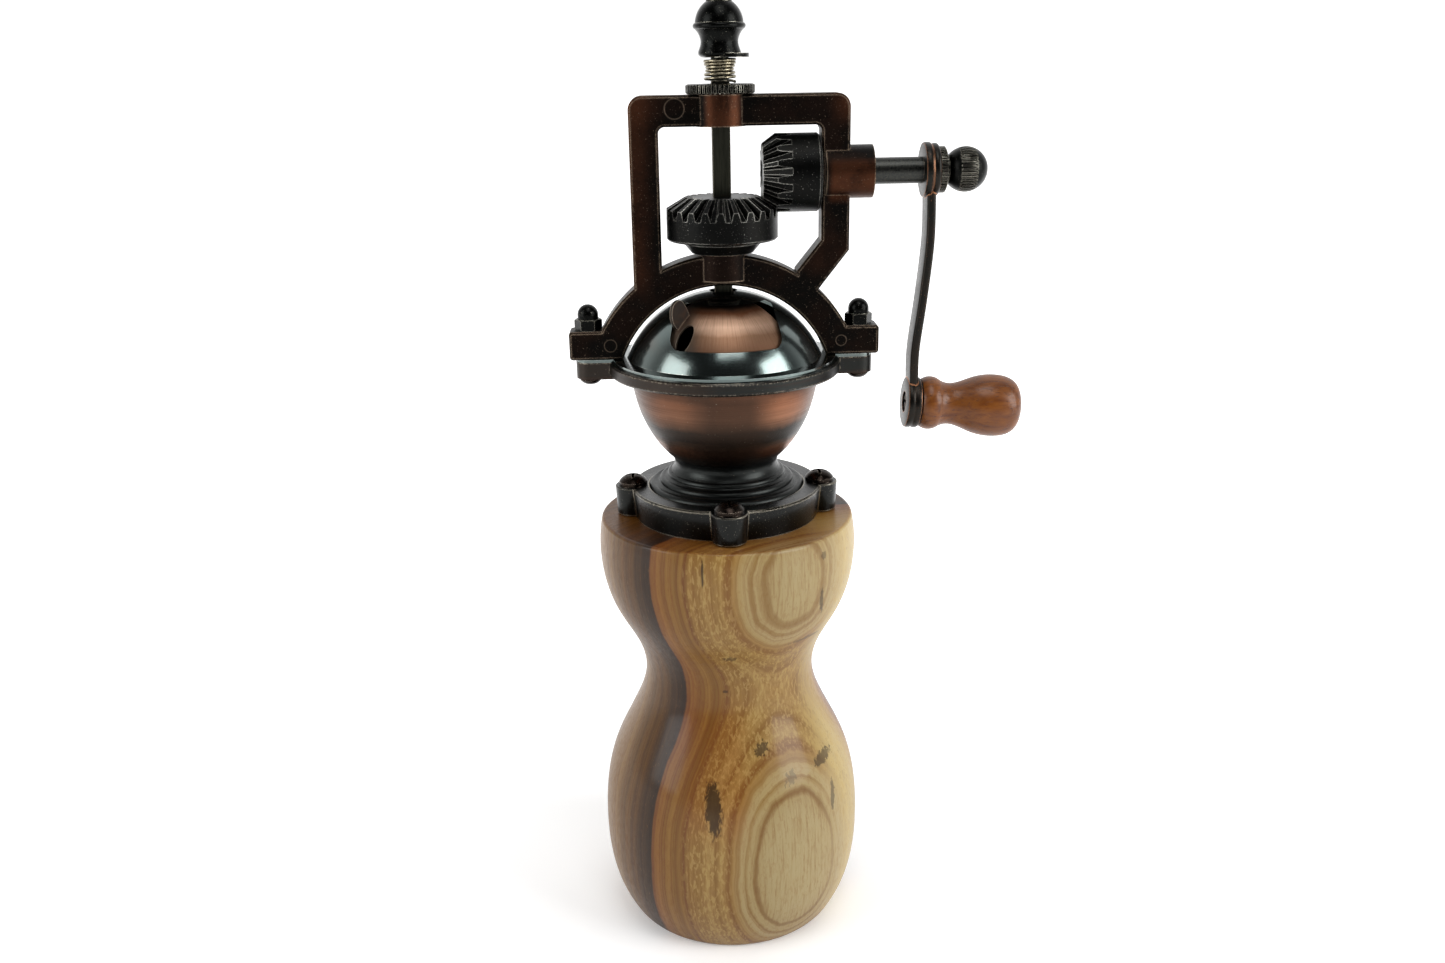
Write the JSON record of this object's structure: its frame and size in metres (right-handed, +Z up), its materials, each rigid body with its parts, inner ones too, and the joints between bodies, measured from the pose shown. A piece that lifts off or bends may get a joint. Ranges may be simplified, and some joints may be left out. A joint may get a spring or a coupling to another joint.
{
  "type": "hand-crank burr grinder",
  "caption": "Hand-crank burr mill: hourglass wooden body, bowl-and-dome hopper with a turning door, open cast frame with bevel gears, crank with a wooden grip, grind-setting knob.",
  "frame": {"origin": "centre of the wooden body's foot, on the surface it stands on", "axes": "+Z up along the spindle, +X along the crank shaft towards the handle, -Y towards the side with the dome's window"},
  "size_m": [0.1126, 0.0686, 0.2381],
  "materials": {
    "figured_wood": "clear gloss varnish over figured, ringed wood",
    "handle_wood": "orange-brown varnished open-pored wood",
    "blackened_casting": "blackened copper, satin, rubbed pale on its edges",
    "brushed_copper_bowl": "antique copper, brushed, with dark bands",
    "black_dome": "glossy black antique copper",
    "copper_door": "brushed antique copper",
    "frame_casting": "dark antique copper casting, copper on its corners",
    "bronze_screws": "dark bronze plated",
    "black_nuts": "blackened, satin",
    "burr_steel": "machined iron",
    "black_steel": "blackened steel",
    "gear_black": "blackened, worn bright on the teeth",
    "crank_black": "blackened copper, edges rubbed",
    "spring_wire": "bright spring wire",
    "spindle_steel": "dark plated steel"
  },
  "bodies": {
    "body": {"wood_body": "figured_wood", "mounting_ring": "blackened_casting", "ring_screws": "bronze_screws", "bowl": "brushed_copper_bowl", "dome_shell": "black_dome", "frame": "frame_casting", "frame_bolts": "bronze_screws", "acorn_nuts": "black_nuts", "burr_housing": "blackened_casting", "stator_burr": "burr_steel", "bridge_bar": "burr_steel", "housing_screws": "bronze_screws"},
    "crank": {"crank_shaft": "black_steel", "drive_gear": "gear_black", "gear_set_screw": "black_steel", "crank_arm": "crank_black", "lock_nut": "black_nuts", "ball_nut": "black_nuts", "handle_screw": "bronze_screws"},
    "grip": {"handle": "handle_wood"},
    "gear_train": {"driven_gear": "gear_black", "thrust_collar": "black_nuts", "knob_spring": "spring_wire"},
    "spindle": {"spindle": "spindle_steel", "rotor_burr": "burr_steel", "rotor_nut": "black_steel", "rotor_spring": "spring_wire"},
    "knob": {"adjust_knob": "black_nuts"},
    "door": {"door": "copper_door"}
  },
  "joints": [
    {"name": "crank_turn", "type": "hinge", "parent": "body", "child": "crank", "pos_m": [0, 0, 0.197], "axis": [1, 0, 0], "continuous": true},
    {"name": "spindle_turn", "type": "hinge", "parent": "body", "child": "gear_train", "pos_m": [0, 0, 0.197], "axis": [0, 0, 1], "continuous": true},
    {"name": "handle_spin", "type": "hinge", "parent": "crank", "child": "grip", "pos_m": [0.0471, 0, 0.13975], "axis": [0.9976, 0, -0.0698], "continuous": true},
    {"name": "knob_turn", "type": "hinge", "parent": "gear_train", "child": "knob", "pos_m": [0, 0, 0.2234], "axis": [0, 0, 1], "range_deg": [-180, 540]},
    {"name": "spindle_lift", "type": "slide", "parent": "gear_train", "child": "spindle", "axis": [0, 0, 1], "range_m": [-0.00105, 0.00035], "deforming": ["rotor_spring"]},
    {"name": "door_turn", "type": "hinge", "parent": "body", "child": "door", "pos_m": [0, 0, 0.1526], "axis": [0, 0, 1], "range_deg": [0, 84]}
  ],
  "couplings": [
    {"joint": "spindle_turn", "follows": "crank_turn", "ratio": 0.65217},
    {"joint": "knob_turn", "follows": "spindle_lift", "rad_per_m": -8976}
  ]
}
